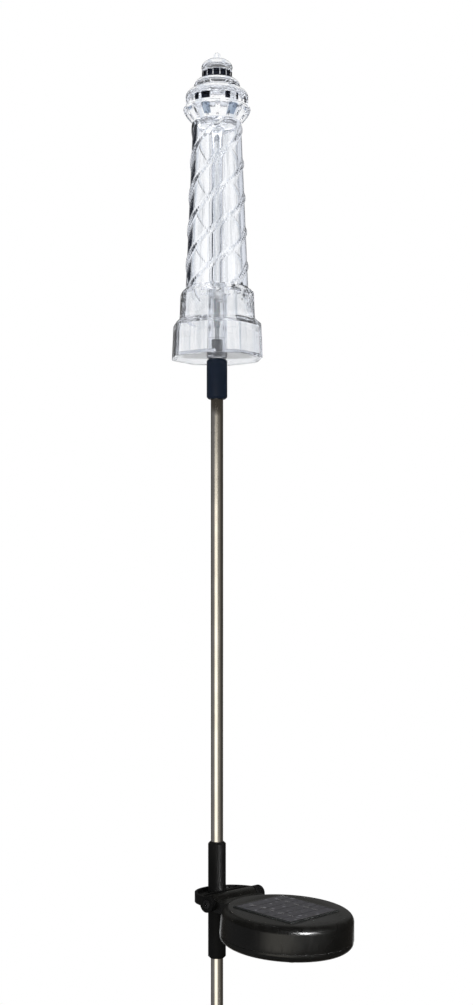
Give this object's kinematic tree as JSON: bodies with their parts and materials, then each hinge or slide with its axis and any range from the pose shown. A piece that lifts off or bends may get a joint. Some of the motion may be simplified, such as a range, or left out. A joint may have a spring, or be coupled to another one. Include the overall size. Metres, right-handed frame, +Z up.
{
  "type": "solar garden stake light",
  "caption": "Clear lighthouse ornament with spiral ribs and a railed gallery on a slim steel garden pole, with a round solar panel that tilts on a hinged bracket low on the pole.",
  "frame": {"origin": "on the pole's axis at soil level, at the upper end of the stake's round collar", "axes": "+Z up along the pole, +X from the pole towards the panel, +Y along the hinge towards the clamping knob"},
  "size_m": [0.13, 0.0836, 0.8634],
  "materials": {
    "black_plastic": "satin black moulding",
    "collar_plastic": "satin blue-black moulding",
    "panel_plastic": "satin black moulding",
    "steel": "bright drawn stainless tube",
    "clear": "clear moulded acrylic, polished",
    "fixing": "plated",
    "nut": "plain",
    "seal": "soft foam",
    "solar_cell": "dark blue-grey cells under clear resin",
    "cell_board": "dark board edge",
    "battery": "can in a plain green sleeve",
    "contacts": "nickel plated",
    "board": "green solder mask",
    "board_parts": "moulded",
    "switch": "moulded",
    "slider": "light grey",
    "lamp": "clear epoxy",
    "legs": "tinned",
    "sleeving": "heat-shrunk",
    "wires": "insulated"
  },
  "bodies": {
    "stand": {"ground_stake": "black_plastic", "lower_pole": "steel", "pole_bracket": "black_plastic", "upper_pole": "steel", "collar": "collar_plastic", "tower_body": "clear", "base_plate": "clear", "light_tube": "clear", "gallery": "clear", "lantern": "clear", "roof": "clear", "led": "lamp", "led_leads": "legs", "heat_shrink": "sleeving", "lead_wires": "wires", "hinge_bolt": "fixing", "hinge_washers": "black_plastic"},
    "knob": {"hinge_knob": "black_plastic", "hinge_nut": "nut"},
    "panel": {"panel_shell": "panel_plastic", "panel_cover": "panel_plastic", "panel_seal": "seal", "cover_screws": "fixing", "solar_cell": "solar_cell", "cell_board": "cell_board", "battery": "battery", "battery_contacts": "contacts", "battery_door": "panel_plastic", "door_screw": "fixing", "circuit_board": "board", "board_parts": "board_parts", "switch_body": "switch"},
    "switch": {"switch_slider": "slider"}
  },
  "joints": [
    {"name": "panel_tilt", "type": "hinge", "parent": "stand", "child": "panel", "pos_m": [0.012, 0, 0.1855], "axis": [0, -1, 0], "range_deg": [-38, 95]},
    {"name": "knob_turn", "type": "hinge", "parent": "stand", "child": "knob", "pos_m": [0.012, 0, 0.1855], "axis": [0, 1, 0], "range_deg": [0, 360]},
    {"name": "switch_slide", "type": "slide", "parent": "panel", "child": "switch", "axis": [0, 1, 0], "range_m": [0, 0.003]}
  ]
}
